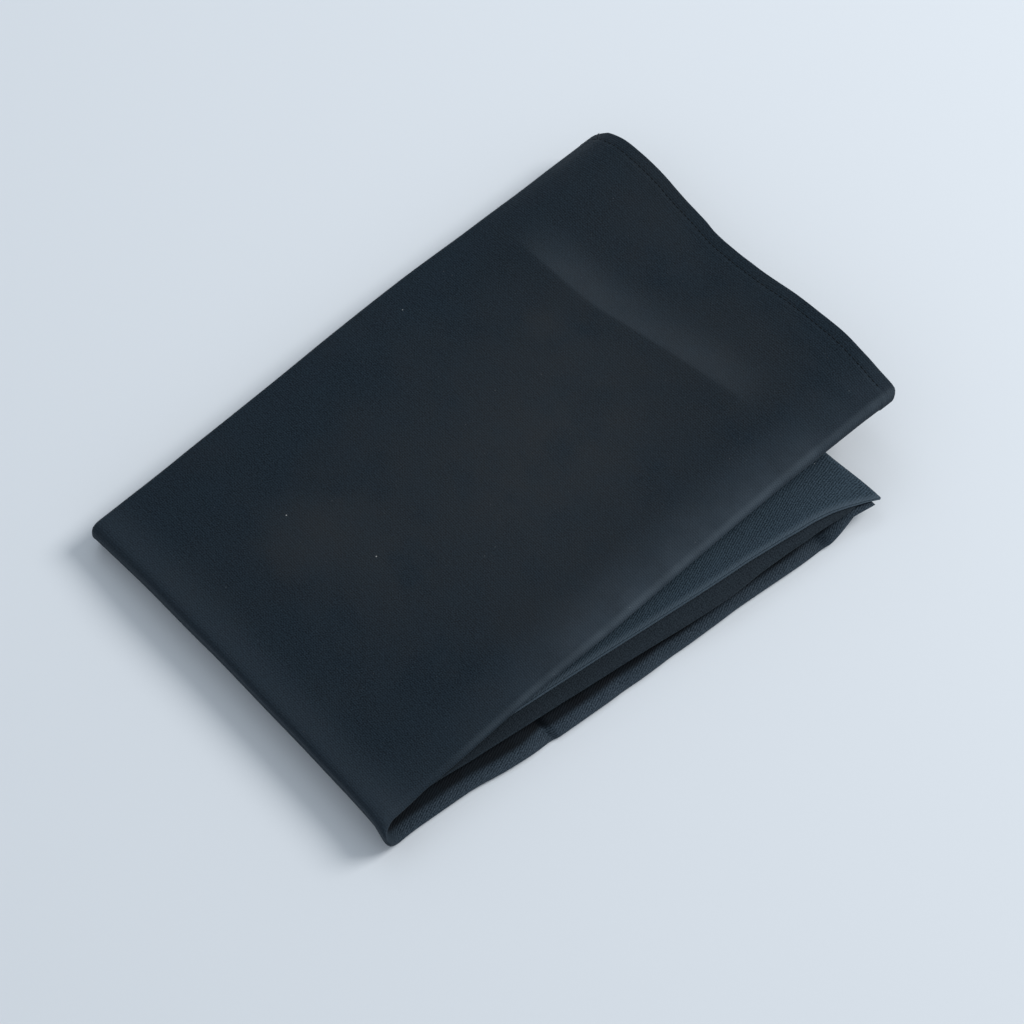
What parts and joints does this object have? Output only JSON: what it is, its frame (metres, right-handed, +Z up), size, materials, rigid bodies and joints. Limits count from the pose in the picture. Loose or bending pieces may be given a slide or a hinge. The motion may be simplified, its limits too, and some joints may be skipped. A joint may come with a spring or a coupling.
{
  "type": "film changing bag",
  "caption": "Light-tight cloth film changing bag with a zipped end and two elasticated sleeves, folded flat in thirds and in half for storage.",
  "frame": {"origin": "bottom centre of the folded bag's box, on the surface it lies on", "axes": "+X along the folded strip from the half fold to the zip end, +Y across it toward the edge where the first third was turned over, +Z up"},
  "size_m": [0.3516, 0.2562, 0.0417],
  "materials": {
    "outer_cloth": "matte woven",
    "liner_cloth": "matte",
    "seam_thread": "matte",
    "zip_tape": "matte",
    "zip_coil": "satin",
    "zip_metal": "satin",
    "elastic": "matte"
  },
  "bodies": {
    "lower_flap": {"base_liner_back": "liner_cloth", "base_liner_front": "liner_cloth", "base_outer_back": "outer_cloth", "base_outer_front": "outer_cloth", "base_side_seam_a": "seam_thread", "base_side_seam_b": "seam_thread", "half_fold_liner_back": "liner_cloth", "half_fold_liner_front": "liner_cloth", "half_fold_outer_back": "outer_cloth", "half_fold_outer_front": "outer_cloth", "shoulder_seam": "seam_thread", "sleeve_a_turn_liner": "liner_cloth", "sleeve_a_turn_outer": "outer_cloth", "sleeve_b_turn_liner": "liner_cloth", "sleeve_b_turn_outer": "outer_cloth"},
    "top_flap": {"end_topstitch": "seam_thread", "flap_liner_back": "liner_cloth", "flap_liner_front": "liner_cloth", "flap_liner_front_end": "liner_cloth", "flap_outer_back": "outer_cloth", "flap_outer_front": "outer_cloth", "flap_side_seam_a": "seam_thread", "flap_side_seam_b": "seam_thread", "inner_zip_coil": "zip_coil", "inner_zip_stop_closed": "zip_metal", "inner_zip_stop_open": "zip_metal", "inner_zip_tape_body": "zip_tape", "inner_zip_tape_end": "zip_tape", "outer_zip_coil": "zip_coil", "outer_zip_stop_closed": "zip_metal", "outer_zip_stop_open": "zip_metal", "outer_zip_tape_body": "zip_tape", "outer_zip_tape_end": "zip_tape", "zip_baffle": "outer_cloth"},
    "inner_pull": {"inner_zip_pull": "zip_metal"},
    "inner_slider": {"inner_zip_slider": "zip_metal"},
    "outer_pull": {"outer_zip_pull": "zip_metal"},
    "outer_slider": {"outer_zip_slider": "zip_metal"},
    "sleeve_flap": {"sleeve_a_forearm_elastic": "elastic", "sleeve_a_liner": "liner_cloth", "sleeve_a_liner_cuff": "liner_cloth", "sleeve_a_outer": "outer_cloth", "sleeve_a_wrist_elastic": "elastic", "sleeve_b_forearm_elastic": "elastic", "sleeve_b_liner": "liner_cloth", "sleeve_b_liner_cuff": "liner_cloth", "sleeve_b_outer": "outer_cloth", "sleeve_b_wrist_elastic": "elastic"}
  },
  "joints": [
    {"name": "open_top_flap", "type": "hinge", "parent": "lower_flap", "child": "top_flap", "pos_m": [-0.16515, 0.01361, 0.0106], "axis": [0, -1, 0], "range_deg": [0, 175], "deforming": ["half_fold_liner_back", "half_fold_liner_front", "half_fold_outer_back", "half_fold_outer_front"]},
    {"name": "lift_sleeves", "type": "hinge", "parent": "lower_flap", "child": "sleeve_flap", "pos_m": [0.13075, 0.01361, 0.0113], "axis": [0, 1, 0], "range_deg": [0, 15.76], "deforming": ["sleeve_a_turn_liner", "sleeve_a_turn_outer", "sleeve_b_turn_liner", "sleeve_b_turn_outer"]},
    {"name": "outer_zip_run", "type": "slide", "parent": "top_flap", "child": "outer_slider", "axis": [0.0218, 0.9974, -0.0689], "range_m": [0, 0.172]},
    {"name": "outer_pull_swing", "type": "hinge", "parent": "outer_slider", "child": "outer_pull", "pos_m": [0.16376, -0.06946, 0.0329], "axis": [0.9963, -0.0159, 0.085], "range_deg": [0, 5]},
    {"name": "inner_zip_run", "type": "slide", "parent": "top_flap", "child": "inner_slider", "axis": [0.0218, 0.9976, -0.0661], "range_m": [0, 0.172]},
    {"name": "inner_pull_swing", "type": "hinge", "parent": "inner_slider", "child": "inner_pull", "pos_m": [0.15067, -0.06947, 0.02792], "axis": [0.9932, -0.0292, -0.1129], "range_deg": [0, 5]}
  ],
  "couplings": [
    {"joint": "lift_sleeves", "follows": "open_top_flap", "ratio": 0.09}
  ]
}
